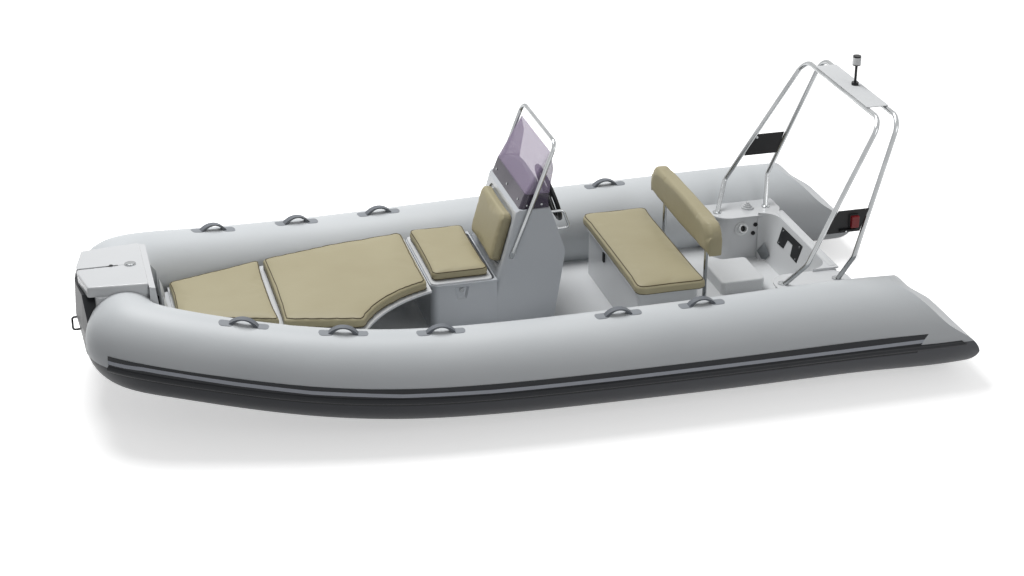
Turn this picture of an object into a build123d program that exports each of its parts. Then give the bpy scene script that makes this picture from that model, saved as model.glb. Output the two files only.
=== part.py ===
# Rigid inflatable boat, 5.2 m long, with an offset console, a bow sundeck, a stern bench and a
# stainless light arch. Millimetres. +X is the bow, +Y is port, +Z is up. The origin is the point
# on the centreline, halfway along the boat, at the level of the water it floats in.
import os
from math import atan2, cos, radians, sin, sqrt, tan

from build123d import *

os.makedirs("parts", exist_ok=True)

PORT, STARBOARD = 1, -1
STANDING = (Align.CENTER, Align.CENTER, Align.MIN)

# ---- driving dimensions -------------------------------------------------------------------
length_overall = 5200
stern_x = -length_overall / 2
bow_x = length_overall / 2
tube_height = 330            # centre of the straight tubes above the water
tube_spacing = 935           # centre of the straight tubes from the centreline
tube_radius = 281            # at the stern
keel_depth = 220             # keel below the water, aft
floor_height = 180           # cockpit floor above the water
floor_thickness = 12
seam_gap = 0.5               # between a moulding and the tube that it is bonded to
seat_gap = 0.3               # between pieces that rest on each other
wall = 8                     # glass fibre locker wall
lid_thickness = 12
hinge_radius = 5             # barrel of a locker lid's hinge

# Air tube stations: centre, radius, and heading in degrees from straight ahead towards the
# centreline.
tube_stations = [
    # x, y, z, radius, heading
    (stern_x - 80, tube_spacing, tube_height, tube_radius, 0),
    (stern_x + 600, tube_spacing, tube_height, tube_radius - 1, 0),
    (stern_x + 1400, tube_spacing, tube_height, tube_radius - 7, 0),
    (-400, tube_spacing - 6, tube_height, tube_radius - 14, 1),
    (400, tube_spacing - 33, tube_height + 3, tube_radius - 21, 3.5),
    (bow_x - 1700, tube_spacing - 80, tube_height + 18, tube_radius - 26, 8),
    (bow_x - 1200, tube_spacing - 173, tube_height + 62, tube_radius - 30, 13),
    (bow_x - 800, tube_spacing - 280, tube_height + 118, tube_radius - 32, 16),
    (bow_x - 500, tube_spacing - 375, tube_height + 168, tube_radius - 31, 21),
    (bow_x - 315, tube_spacing - 475, tube_height + 196, tube_radius - 29, 45),
    (bow_x - 270, tube_spacing - 655, tube_height + 204, tube_radius - 38, 75),
    (bow_x - 258, 0, tube_height + 206, tube_radius - 54, 90),
]

# Raked stern end of each tube, seen from the side: a slanted cut whose cap bulges at the top
# and at the tip, with a hollow between.
rake_slope = 1.22            # aft for each mm down
rake_tip_z = tube_height - 140
cap_thickness = 14
cap_profile = [
    # along the slanted cut from its top, bulge above it
    (0, 0),
    (150, 34),
    (330, 20),
    (520, 34),
    (640, 0),
]

# Rubbing strake on the outboard side of each tube, in degrees above the tube's centre.
strake_top, strake_bottom = 8.5, -16.3
ridge_top, ridge_bottom = -5, -13
strake_thickness = 4
ridge_height = 20

stem_x = bow_x - 4           # foremost line of the stem
guard_z = tube_height + 210  # widest level of the stem guard
guard_half_foot = 395
guard_half_top = 205
guard_top_gap = 5            # under the bow step

# Handles on the tubes, at these distances from the bow
handle_places = [892, 1430, 1972, 3005, 3510]
handle_span, handle_width, handle_rise, handle_strap = 190, 42, 38, 8
handle_root = 20             # depth of the strap's ends below the tube's skin

# Transom, leaning aft, with the hull's end in the same plane
transom_lean = 12.7
transom_foot_x = stern_x + 745
transom_top_z = tube_height + 165
transom_skin = 10
board_thickness = 40

# Hull stations
hull_top_z = floor_height - floor_thickness
hull_stations = [
    # x, keel z, chine half-beam, chine z, sheer half-beam, sheer z, top z
    (stern_x + 500, -keel_depth, 640, 30, 760, 100, hull_top_z),
    (stern_x + 1600, -keel_depth, 645, 30, 760, 100, hull_top_z),
    (300, -keel_depth, 630, 40, 740, 105, hull_top_z),
    (bow_x - 1400, -keel_depth + 35, 540, 85, 680, 135, hull_top_z),
    (bow_x - 800, -keel_depth + 130, 400, 150, 560, 205, hull_top_z + 62),
    (bow_x - 400, 70, 200, 220, 360, 290, 330),
    (bow_x - 200, 270, 50, 330, 100, 360, 400),
]
keel_flat = 22
rail_places = (0.42, 0.72)   # spray rails, as shares of the way from the keel to the chine
rail_ledge = 26

# Stern moulding: two corner pods joined by the transom's skin
pod_front_x = stern_x + 1070
pod_inner_y = 455
pod_top_z = tube_height + 150
pod_corner = 130
pod_flange = 10              # overhang and depth of the lip round the pods' tops
hose_place = (stern_x + 897, tube_height + 66)
stack_place = (stern_x + 810, -583)

# Console, offset to starboard, and the front seat that is part of it
console_centre_y = -250
console_half_width = 350
console_front_foot_x = 95
console_bend_z = 470         # where the front face starts to lean aft
console_front_top_x = -45
console_top_z = 935
console_aft_top_x = -235
console_knee_x = -335
console_knee_z = 645
console_aft_foot_x = -262
console_corner = 34
hood_top_z = 1082
hood_shoulder_z = 1030
hood_half_width = 318
pad_recess = 10              # depth of the hollow behind the console's cushion
seat_front_x = 505
seat_top_z = 500             # top of the seat base, under its lid
pad_thickness = 64           # seat and sundeck cushions
pad_corner = 40
pad_edge = 18
wheel_radius = 190
wheel_rim = 14
wheel_climb = 232            # of the wheel's hub up the dash from the knee
wheel_stand_off = 70
screen_thickness = 5
screen_clearance = 12        # between the hood and the inside of the windshield
screen_corner = 26

# Stern bench
bench_aft_x = -1080
bench_front_x = -640
bench_half_width = 540
bench_base_z = 498
backrest_x = -1140
backrest_half_width = 550
backrest_low_z, backrest_high_z = 662, 905
post_radius = 12.5
latch_spot = (-165, 440)     # y, z of the bench's latch

# Bow sundeck
sundeck_z = 502              # top of the board under the cushions
sundeck_board_thickness = 14
bow_seam_x = bow_x - 1140    # seam between the two sundeck cushions
bow_pad_front_x = bow_x - 552
bow_pad_aft_x = seat_front_x + 18

# Bow step
step_z = tube_height + 488
step_aft_x = bow_x - 415
step_tip_x = bow_x - 32
step_half_width = 300
step_edge = 12
apron_foot_x = step_aft_x - 74   # the step's aft wall slopes down to the sundeck
apron_foot_z = sundeck_z - 60
apron_half_width = step_half_width + 12
skirt_depth = 62

# Stainless light arch
arch_tube_r = 15
arch_corner_r = 110
arch_top_z = 1480
arch_foot_flange = 28

# Console rail
rail_r = 12.5


def tube_plane(station):
    """Plane across a tube, its x axis pointing outboard."""
    x, y, z, radius, heading = station
    ahead = (cos(radians(heading)), -sin(radians(heading)), 0)
    outboard = (sin(radians(heading)), cos(radians(heading)), 0)
    return Plane(origin=(x, y, z), x_dir=outboard, z_dir=ahead)


def tube_at(x):
    """Station of the port tube at x, between the two that it lies between."""
    for near, far in zip(tube_stations, tube_stations[1:]):
        if near[0] <= x <= far[0]:
            share = (x - near[0]) / (far[0] - near[0])
            return [a + share * (b - a) for a, b in zip(near, far)]
    raise ValueError("x lies beyond the tube")


def tube_loft(grow=0):
    """Port air tube from beyond its raked end to the centreline, larger by grow all round."""
    with BuildPart() as tube:
        for station in tube_stations:
            with BuildSketch(tube_plane(station)):
                Circle(station[3] + grow)
        loft()
    return tube.part


def ahead_of_rake(shift=0, bulge=0):
    """Everything forward of the raked stern end, moved aft by shift."""
    top_z = tube_height + tube_radius
    tip_x = stern_x - shift
    top_x = tip_x + (top_z - rake_tip_z) * rake_slope
    down = Vector(-rake_slope, 0, -1).normalized()
    proud = Vector(-down.Z, 0, down.X) * -1
    top = Vector(top_x, 0, top_z)
    length = (top - Vector(tip_x, 0, rake_tip_z)).length
    crest = [
        top + down * (along * length / cap_profile[-1][0]) + proud * height * bulge
        for along, height in cap_profile
    ]
    foot_z = tube_height - tube_radius - 40
    with BuildPart() as block:
        with BuildSketch(Plane.XZ):
            with BuildLine():
                lead = top - down * 300
                Line((lead.X, lead.Z), (top.X, top.Z))
                Spline(*[(point.X, point.Z) for point in crest])
                end = crest[-1]
                ThreePointArc(
                    (end.X, end.Z), (end.X + 22, end.Z - 88), (end.X + 120, foot_z + 35)
                )
                Polyline(
                    (end.X + 120, foot_z + 35), (end.X + 160, foot_z), (bow_x + 400, foot_z),
                    (bow_x + 400, lead.Z), (lead.X, lead.Z),
                )
            make_face()
        extrude(amount=2 * tube_spacing, both=True)
    return block.part


def strake_loft():
    """Port rubbing strake: a flat band with a half-round ridge, wrapped on the tube."""
    def point(radius, angle):
        return (radius * cos(radians(angle)), radius * sin(radians(angle)))

    def arc(radius, start, end):
        return ThreePointArc(
            point(radius, start), point(radius, (start + end) / 2), point(radius, end)
        )

    with BuildPart() as strake:
        for station in tube_stations[:-2]:
            inner = station[3] - 10
            outer = station[3] + strake_thickness
            with BuildSketch(tube_plane(station)):
                with BuildLine():
                    arc(inner, strake_bottom, strake_top)
                    Line(point(inner, strake_top), point(outer, strake_top))
                    arc(outer, strake_top, ridge_top)
                    ThreePointArc(
                        point(outer, ridge_top),
                        point(station[3] + ridge_height, (ridge_top + ridge_bottom) / 2),
                        point(outer, ridge_bottom),
                    )
                    arc(outer, ridge_bottom, strake_bottom)
                    Line(point(outer, strake_bottom), point(inner, strake_bottom))
                make_face()
        loft()
    return strake.part


def both_sides(piece):
    """The piece and its mirror image on the other side of the centreline."""
    with BuildPart() as pair:
        add(piece)
        mirror(about=Plane.XZ)
    return pair.part


def write(piece, name):
    piece.label = name
    export_step(piece, f"parts/{name}.step")


def cushion(outline, z_low, thickness, corner=pad_corner):
    """Plain pad lying flat, with rounded corners and a rounded top edge."""
    with BuildPart() as pad:
        with BuildSketch(Plane.XY.offset(z_low)) as plan:
            with BuildLine():
                Polyline(*outline, close=True)
            make_face()
            fillet(plan.vertices(), corner)
        extrude(amount=thickness)
        fillet(pad.faces().sort_by(Axis.Z)[-1].edges(), pad_edge)
    return pad.part


def bent_tube(points, bend_radius, tube_radius):
    """Round bar swept along straight runs joined by bends."""
    with BuildPart() as bar:
        with BuildLine() as path:
            FilletPolyline(*points, radius=bend_radius)
        with BuildSketch(Plane(origin=path.line @ 0, z_dir=path.line % 0)):
            Circle(tube_radius)
        sweep()
    return bar.part


def box_between(low, high):
    """Plain block from its lowest to its highest corner, for cuts."""
    with BuildPart() as block:
        with Locations(tuple((a + b) / 2 for a, b in zip(low, high))):
            Box(*[b - a for a, b in zip(low, high)])
    return block.part


def lean_plane(x, z, lean):
    """Plane that leans aft by lean degrees from the vertical and faces forward."""
    return Plane(
        origin=(x, 0, z), x_dir=(0, 1, 0), z_dir=(cos(radians(lean)), 0, sin(radians(lean)))
    )


# ---- tubes, caps, strakes and handles -----------------------------------------------------
tube_blank = tube_loft()
seam_blank = tube_loft(seam_gap)
tube_cutter = [seam_blank, seam_blank.mirror(Plane.XZ)]


def clear_of_tubes(piece):
    """The piece cut to the tubes, each half to the tube on its own side."""
    with BuildPart() as whole:
        for side, tube in zip((PORT, STARBOARD), tube_cutter):
            far_side = sorted((0, -side * tube_spacing))
            with BuildPart(mode=Mode.PRIVATE) as half:
                add(piece)
                add(box_between(
                    (stern_x - 200, far_side[0], -2 * keel_depth),
                    (bow_x + 200, far_side[1], arch_top_z),
                ), mode=Mode.SUBTRACT)
                add(tube, mode=Mode.SUBTRACT)
            add(half.part)
    return whole.part


step_recess = box_between(
    (apron_foot_x - 12, -apron_half_width, apron_foot_z),
    (step_aft_x + seam_gap, apron_half_width, step_z + 60),
)

with BuildPart() as collar_port:
    add(tube_blank)
    add(ahead_of_rake(-cap_thickness - seat_gap), mode=Mode.INTERSECT)
    add(step_recess, mode=Mode.SUBTRACT)
    add(box_between(
        (bow_x - 700, -tube_radius, -keel_depth), (bow_x + 100, seat_gap / 2, arch_top_z)
    ), mode=Mode.SUBTRACT)
write(collar_port.part, "collar_port")

with BuildPart() as collar_starboard:
    add(collar_port.part)
    mirror(about=Plane.XZ, mode=Mode.REPLACE)
write(collar_starboard.part, "collar_starboard")

with BuildPart() as stern_cap:
    add(tube_blank)
    add(ahead_of_rake(bulge=1), mode=Mode.INTERSECT)
    add(ahead_of_rake(-cap_thickness), mode=Mode.SUBTRACT)
write(both_sides(stern_cap.part), "stern_caps")

with BuildPart() as strake_port:
    add(strake_loft())
    add(ahead_of_rake(-cap_thickness - seat_gap), mode=Mode.INTERSECT)
    add(seam_blank, mode=Mode.SUBTRACT)

with BuildPart() as handles_port:
    for place in handle_places:
        x, y, z, radius, heading = tube_at(bow_x - place)
        ahead_z, ahead_radius = tube_at(bow_x - place + 50)[2:4]
        climb = atan2(ahead_z + ahead_radius - z - radius, 50)
        along = Vector(cos(radians(heading)) * cos(climb), -sin(radians(heading)), sin(climb))
        side_plane = Plane(
            origin=(x, y, z + radius), x_dir=along,
            z_dir=(-sin(radians(heading)), -cos(radians(heading)), 0),
        )
        with BuildSketch(side_plane):
            with BuildLine():
                half = handle_span / 2
                foot = half - 30
                ThreePointArc((-half, -handle_root), (0, handle_rise), (half, -handle_root))
                Line((half, -handle_root), (foot, -handle_root))
                ThreePointArc(
                    (foot, -handle_root), (0, handle_rise - handle_strap), (-foot, -handle_root)
                )
                Line((-foot, -handle_root), (-half, -handle_root))
            make_face()
        extrude(amount=handle_width / 2, both=True)
    add(tube_cutter, mode=Mode.SUBTRACT)
write(both_sides(handles_port.part), "tube_handles")

# ---- hull and floor -----------------------------------------------------------------------
board_front = lean_plane(transom_foot_x, floor_height, transom_lean).offset(
    -transom_skin - seat_gap
)


def ahead_of(plane):
    """Everything on the bow side of a leaning plane."""
    with BuildPart() as block:
        with BuildSketch(plane):
            Rectangle(2 * tube_spacing, 3000)
        extrude(amount=length_overall + 1000)
    return block.part


def hull_underside(keel_z, chine_y, chine_z, sheer_y, sheer_z):
    """Half of the hull's cross-section, from the keel to the sheer, with its spray rails."""
    points = [(keel_flat * chine_y / hull_stations[0][2], keel_z)]
    rise = (chine_z - keel_z) / chine_y
    ledge = rail_ledge * chine_y / hull_stations[0][2]
    for share in rail_places:
        y, z = chine_y * share, keel_z + rise * chine_y * share
        points += [(y, z), (y + ledge, z), (y + ledge, z + rise * ledge)]
    return points + [(chine_y, chine_z), (sheer_y, sheer_z)]


def mirrored(points):
    """Half an outline seen from ahead, (y, z), with its mirror image."""
    return points + [(-y, z) for y, z in points[::-1]]


def mirrored_plan(points):
    """Half an outline seen from above, (x, y), with its mirror image."""
    return points + [(x, -y) for x, y in points[::-1]]


with BuildPart() as hull:
    for x, keel_z, chine_y, chine_z, sheer_y, sheer_z, top_z in hull_stations:
        half = hull_underside(keel_z, chine_y, chine_z, sheer_y, sheer_z) + [(sheer_y, top_z)]
        with BuildSketch(Plane.YZ.offset(x)):
            with BuildLine():
                Polyline(*mirrored(half), close=True)
            make_face()
    loft(ruled=True)
    add(ahead_of(board_front.offset(seat_gap)), mode=Mode.INTERSECT)
    add(tube_cutter, mode=Mode.SUBTRACT)
write(hull.part, "hull")

deck_front_x = bow_x - 1600
with BuildPart() as floor_deck:
    with BuildSketch(Plane.XY.offset(hull_top_z + seat_gap)):
        with Locations(((stern_x + 500 + deck_front_x) / 2, 0)):
            Rectangle(deck_front_x - stern_x - 500, 2 * tube_spacing - tube_radius)
    extrude(amount=floor_thickness - seat_gap)
    add(ahead_of(board_front.offset(seat_gap)), mode=Mode.INTERSECT)
    add(tube_cutter, mode=Mode.SUBTRACT)
write(floor_deck.part, "floor_deck")

# ---- stern --------------------------------------------------------------------------------
pod_outer_y = tube_spacing - 150
lean_rate = tan(radians(transom_lean))


def transom_x(z):
    """Where the transom's cockpit face is at height z."""
    return transom_foot_x - (z - floor_height) * lean_rate


pod_shelf_z = pod_top_z - pod_flange
with BuildPart() as stern_moulding:
    with BuildSketch(Plane.XY.offset(floor_height + seat_gap)):
        pod_length = pod_front_x - stern_x - 500
        for side in (PORT, STARBOARD):
            with Locations((pod_front_x - pod_length / 2, side * (pod_inner_y + pod_outer_y) / 2)):
                RectangleRounded(pod_length, pod_outer_y - pod_inner_y, pod_corner)
        with Locations((stern_x + 500 + pod_length / 4, 0)):
            Rectangle(pod_length / 2, pod_inner_y + pod_outer_y)
    extrude(amount=transom_top_z - floor_height - seat_gap)
    for z in (floor_height - 1, transom_top_z + 1):
        with BuildSketch(Plane.XY.offset(z)):
            with Locations(((transom_x(z) + pod_front_x + 400) / 2, 0)):
                RectangleRounded(pod_front_x + 400 - transom_x(z), 2 * pod_inner_y, pod_corner)
    loft(mode=Mode.SUBTRACT)
    for side in (PORT, STARBOARD):
        with Locations((pod_front_x - 300, side * (pod_inner_y + 400), pod_shelf_z)):
            Box(800, 800, 200, align=STANDING, mode=Mode.SUBTRACT)
    add(ahead_of(board_front.offset(seat_gap)), mode=Mode.INTERSECT)
    with BuildSketch(Plane.XY.offset(pod_shelf_z)):
        flange_aft_x = transom_x(pod_top_z) - transom_skin - board_thickness - 3 * pod_flange
        for side in (PORT, STARBOARD):
            lip_y = pod_inner_y - pod_flange
            with Locations((
                (flange_aft_x + pod_front_x + pod_flange) / 2, side * (lip_y + pod_outer_y) / 2
            )):
                RectangleRounded(
                    pod_front_x + pod_flange - flange_aft_x, pod_outer_y - lip_y, pod_corner - 10
                )
    extrude(amount=pod_flange)
    with BuildSketch(Plane.XZ.offset(-pod_inner_y)):
        with BuildLine():
            aft_x = transom_x(transom_top_z) - transom_skin - board_thickness - pod_flange
            Polyline(
                (transom_x(transom_top_z), transom_top_z), (aft_x, transom_top_z),
                (aft_x + pod_flange * lean_rate, transom_top_z - pod_flange),
                (transom_x(transom_top_z - pod_flange) - 5, transom_top_z - pod_flange),
                close=True,
            )
        make_face()
    extrude(amount=2 * pod_inner_y)
    add(tube_cutter, mode=Mode.SUBTRACT)
write(stern_moulding.part, "stern_moulding")

with BuildPart() as transom_board:
    with BuildSketch(board_front):
        with BuildLine():
            lower = [
                (y, (z - board_front.origin.Z) / cos(radians(transom_lean)))
                for y, z in hull_underside(*hull_stations[0][1:6])
            ]

            def up_board(z):
                return (z - board_front.origin.Z) / cos(radians(transom_lean))

            shelf = up_board(pod_shelf_z - seat_gap)
            crest = up_board(transom_top_z - pod_flange - seat_gap)
            Polyline(
                *mirrored(lower + [
                    (pod_outer_y, lower[-1][1]), (pod_outer_y, shelf), (pod_inner_y, shelf),
                    (pod_inner_y, crest),
                ]), close=True,
            )
        make_face()
    extrude(amount=-board_thickness)
    add(tube_cutter, mode=Mode.SUBTRACT)
write(transom_board.part, "transom_board")

with BuildPart() as stern_step:
    with Locations((stern_x + 1065, -130, floor_height + seat_gap)):
        Box(290, 350, 86, align=STANDING)
    fillet(stern_step.edges().filter_by(Axis.Z), 30)
    fillet(stern_step.faces().sort_by(Axis.Z)[-1].edges(), 12)
write(stern_step.part, "stern_step")

stack_discs = [
    # height above the pod, radius
    (0, 40),
    (11, 29),
    (22, 20),
    (33, 11),
]
with BuildPart() as vent_stack:
    for height, radius in stack_discs:
        with Locations((*stack_place, pod_top_z + seat_gap + height)):
            Cylinder(radius, 11, align=STANDING)
    fillet(vent_stack.edges().filter_by(GeomType.CIRCLE).group_by(Axis.Z)[-1], 4)
write(vent_stack.part, "vent_stack")

hose_plane = Plane(
    origin=(hose_place[0], -pod_inner_y + seat_gap, hose_place[1]), x_dir=(1, 0, 0),
    z_dir=(0, 1, 0),
)
spigot_plane = hose_plane.offset(6).rotated((24, 0, 0))
with BuildPart() as hose_port:
    with BuildSketch(hose_plane):
        Circle(46)
    extrude(amount=8)
    with BuildSketch(spigot_plane):
        Circle(28)
    extrude(amount=42)
    with BuildSketch(spigot_plane.offset(10)):
        Circle(21)
    extrude(amount=60, mode=Mode.SUBTRACT)
    fillet(hose_port.edges().filter_by(GeomType.CIRCLE).sort_by(Axis.Y)[-1], 3)
    add(box_between(
        (hose_place[0] - 60, -pod_inner_y - 60, hose_place[1] - 60),
        (hose_place[0] + 60, -pod_inner_y + seat_gap, hose_place[1] + 60),
    ), mode=Mode.SUBTRACT)
write(hose_port.part, "hose_port")

# ---- bow ----------------------------------------------------------------------------------
step_plan = [
    (step_aft_x, -step_half_width), (step_aft_x, step_half_width - 6),
    (step_tip_x - 41, 262), (step_tip_x, 60), (step_tip_x, -60), (step_tip_x - 41, -262),
]
slot_half, slot_length = 8, 235
with BuildPart() as step_block:
    with BuildSketch(Plane.XY.offset(step_z - skirt_depth)):
        with BuildLine():
            Polyline(*step_plan, close=True)
        make_face()
    extrude(amount=skirt_depth)
    fillet(step_block.edges().filter_by(Axis.Z), 16)
    fillet(step_block.faces().sort_by(Axis.Z)[-1].edges(), step_edge)
    with BuildSketch(Plane.XY.offset(step_z - skirt_depth - 110)):
        with Locations(((step_aft_x + step_tip_x - 80) / 2, 0)):
            RectangleRounded(step_tip_x - 80 - step_aft_x, 2 * step_half_width - 16, 30)
    extrude(amount=112)
    with Locations((step_tip_x - slot_length / 2 + 20, 0, step_z)):
        Box(slot_length + 40, 2 * slot_half, 2 * 40, mode=Mode.SUBTRACT)
    with Locations(((step_aft_x + step_tip_x) / 2 - 60, 0, step_z)):
        Box(160, 3, 4, mode=Mode.SUBTRACT)
with BuildPart() as bow_step:
    add(clear_of_tubes(step_block.part))
    with BuildSketch(Plane.XZ.offset(-apron_half_width + seam_gap)):
        with BuildLine():
            Polyline(
                (step_aft_x, apron_foot_z + seam_gap), (step_aft_x, step_z - 16),
                (step_aft_x - 34, step_z - 24), (apron_foot_x, apron_foot_z + seam_gap),
                close=True,
            )
        make_face()
    extrude(amount=2 * (apron_half_width - seam_gap))
    add(hull.part, mode=Mode.SUBTRACT)
write(bow_step.part, "bow_step")

with BuildPart() as bow_cleat:
    with Locations((step_aft_x + 78, 0, step_z + seat_gap)):
        Cylinder(34, 4, align=STANDING)
    with Locations((step_aft_x + 78, 0, step_z + seat_gap + 4)):
        Cylinder(26, 4, align=STANDING)
    fillet(bow_cleat.edges().filter_by(GeomType.CIRCLE).group_by(Axis.Z)[-1], 2)
write(bow_cleat.part, "bow_cleat")

with BuildPart() as bow_roller:
    with BuildSketch(Plane.XZ):
        with Locations((step_tip_x - slot_length + 40, step_z - 10)):
            Circle(17)
    extrude(amount=slot_half - seat_gap, both=True)
write(bow_roller.part, "bow_roller")

# Stem guard: wedges lofted one above the other, trimmed to the outline seen from ahead
guard_levels = [
    # z, distance of the stem behind its foremost line
    (tube_height - 30, 34),
    (tube_height + 100, 18),
    (guard_z, 0),
    (step_z - skirt_depth - guard_top_gap, 12),
]
guard_low_z, guard_top_z = guard_levels[0][0], guard_levels[-1][0]
guard_back_x = step_tip_x - 79
with BuildPart() as half_guard:
    for z, back in guard_levels:
        stem = stem_x - back
        with BuildSketch(Plane.XY.offset(z)):
            with BuildLine():
                Polyline(
                    (guard_back_x, 0), (guard_back_x, guard_half_foot),
                    (stem - 60, guard_half_foot), (stem - 24, guard_half_top), (stem, 26),
                    (stem, 0), close=True,
                )
            make_face()
    loft(ruled=True)
    with BuildSketch(Plane.YZ.offset(stem_x - 500)):
        with BuildLine():
            Polyline(
                (0, guard_low_z), (60, guard_low_z), (230, tube_height + 10),
                (guard_half_foot - 2, guard_z - 60), (guard_half_foot - 2, guard_z + 12),
                (guard_half_top, guard_top_z), (0, guard_top_z), close=True,
            )
        make_face()
    extrude(amount=700, mode=Mode.INTERSECT)
    add(seam_blank, mode=Mode.SUBTRACT)
guard_solid = half_guard.part.solids().sort_by(SortBy.VOLUME)[-1]
with BuildPart() as rub_strakes:
    add(guard_solid)
    add(strake_port.part)
    mirror(about=Plane.XZ)
write(rub_strakes.part, "rub_strakes")

with BuildPart() as bow_eye:
    eye_low_z, eye_high_z = tube_height + 110, tube_height + 190
    add(bent_tube(
        [
            (stem_x - 46, 0, eye_low_z), (stem_x + 26, 0, eye_low_z),
            (stem_x + 26, 0, eye_high_z), (stem_x - 46, 0, eye_high_z),
        ],
        14, 6,
    ))
    add(rub_strakes.part, mode=Mode.SUBTRACT)
write(bow_eye.part, "bow_eye")

# ---- bow sundeck --------------------------------------------------------------------------
with BuildPart() as locker_block:
    with BuildSketch(Plane.XY.offset(floor_height)):
        with BuildLine():
            Polyline(*mirrored_plan([
                (bow_seam_x + 60, 430), (bow_pad_front_x + 34, 262),
            ]), close=True)
        make_face()
    extrude(amount=sundeck_z - sundeck_board_thickness - floor_height)
with BuildPart() as bow_locker:
    add(clear_of_tubes(locker_block.part))
    add(hull.part, mode=Mode.SUBTRACT)
    add(bow_step.part, mode=Mode.SUBTRACT)
locker_solid = bow_locker.part.solids().sort_by(SortBy.VOLUME)[-1]
write(Part() + locker_solid, "bow_locker")

pad_gap = 3
bow_cut = [
    # curved cut in the port aft corner of the sundeck, from outboard to inboard
    (bow_seam_x - 455, 568),
    (bow_seam_x - 640, 330),
    (bow_pad_aft_x, 150),
]


def sundeck_outline(grow=0):
    """Outline of the sundeck behind its seam, larger by grow where it is free."""
    starboard_aft = (bow_pad_aft_x - grow, -628 - grow)
    starboard_bend = (bow_seam_x - 460, -568 - grow)
    with BuildLine(mode=Mode.PRIVATE) as outline:
        Polyline(
            (bow_cut[-1][0] - grow, bow_cut[-1][1] + grow), starboard_aft, starboard_bend,
            (bow_seam_x - pad_gap, -452 - grow), (bow_seam_x - pad_gap, 452 + grow),
            (bow_cut[0][0] - grow, bow_cut[0][1] + grow),
        )
        ThreePointArc(
            (bow_cut[0][0] - grow, bow_cut[0][1] + grow),
            (bow_cut[1][0] - grow, bow_cut[1][1] + grow),
            (bow_cut[-1][0] - grow, bow_cut[-1][1] + grow),
        )
    return outline.line


with BuildPart() as sundeck_board:
    with BuildSketch(Plane.XY.offset(sundeck_z - sundeck_board_thickness + seat_gap)):
        with BuildLine():
            add(sundeck_outline(7))
        make_face()
        with BuildLine():
            Polyline(*mirrored_plan([
                (bow_seam_x - 4, 459), (bow_pad_front_x - 6, 300),
            ]), close=True)
        make_face()
    extrude(amount=sundeck_board_thickness - seat_gap)
    add(tube_cutter, mode=Mode.SUBTRACT)
write(sundeck_board.part, "sundeck_board")

write(
    cushion(
        mirrored_plan([(bow_seam_x + pad_gap, 445), (bow_pad_front_x, 262)]),
        sundeck_z + seat_gap, pad_thickness, 14,
    ),
    "bow_cushion_front",
)

with BuildPart() as bow_cushion_large:
    with BuildSketch(Plane.XY.offset(sundeck_z + seat_gap)) as large_plan:
        with BuildLine():
            add(sundeck_outline())
        make_face()
        fillet(large_plan.vertices().group_by(Axis.X)[0], 26)
    extrude(amount=pad_thickness)
    fillet(bow_cushion_large.faces().sort_by(Axis.Z)[-1].edges(), pad_edge - 4)
write(bow_cushion_large.part, "bow_cushion_large")

# ---- console and front seat ---------------------------------------------------------------
port_side_y = console_centre_y + console_half_width
seat_low_y = console_centre_y - console_half_width - 45
seat_aft_x = console_front_foot_x + seat_gap
latch_place = (316, seat_top_z - 56)
with BuildPart() as seat_base:
    with BuildSketch(Plane.XY.offset(floor_height + seat_gap)) as seat_plan:
        with Locations(((seat_aft_x + seat_front_x) / 2, (seat_low_y + port_side_y) / 2)):
            Rectangle(seat_front_x - seat_aft_x, port_side_y - seat_low_y)
        fillet(seat_plan.vertices().group_by(Axis.X)[-1], 50)
    extrude(amount=seat_top_z - floor_height - seat_gap)
    with BuildSketch(Plane.XY.offset(seat_top_z - 14)) as lip_plan:
        with Locations(((seat_aft_x + seat_front_x + 5) / 2, (seat_low_y + port_side_y) / 2)):
            Rectangle(seat_front_x - seat_aft_x + 5, port_side_y - seat_low_y + 10)
        fillet(lip_plan.vertices().group_by(Axis.X)[-1], 54)
    extrude(amount=14)
    with BuildSketch(Plane.XY.offset(floor_height)) as seat_hollow:
        with Locations(((seat_aft_x + seat_front_x) / 2, (seat_low_y + port_side_y) / 2)):
            Rectangle(seat_front_x - seat_aft_x - 2 * wall, port_side_y - seat_low_y - 2 * wall)
        fillet(seat_hollow.vertices(), 42)
    extrude(amount=seat_top_z, mode=Mode.SUBTRACT)
    add(box_between(
        (latch_place[0] - 62, port_side_y - wall - 14, latch_place[1] - 62),
        (latch_place[0] + 62, port_side_y - wall + 1, latch_place[1] + 40),
    ))
    for depth, shrink in ((0, 0), (12, 12)):
        with BuildSketch(Plane.XZ.offset(-port_side_y - 0.5 + depth * 1.04)):
            with Locations(latch_place):
                Polygon(
                    (-46 + shrink, 34 - shrink), (46 - shrink, 34 - shrink),
                    (30 - shrink, -50 + shrink), (-30 + shrink, -50 + shrink),
                    align=None,
                )
    loft(mode=Mode.SUBTRACT)
    add(tube_cutter, mode=Mode.SUBTRACT)
write(seat_base.part, "seat_base")

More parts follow.
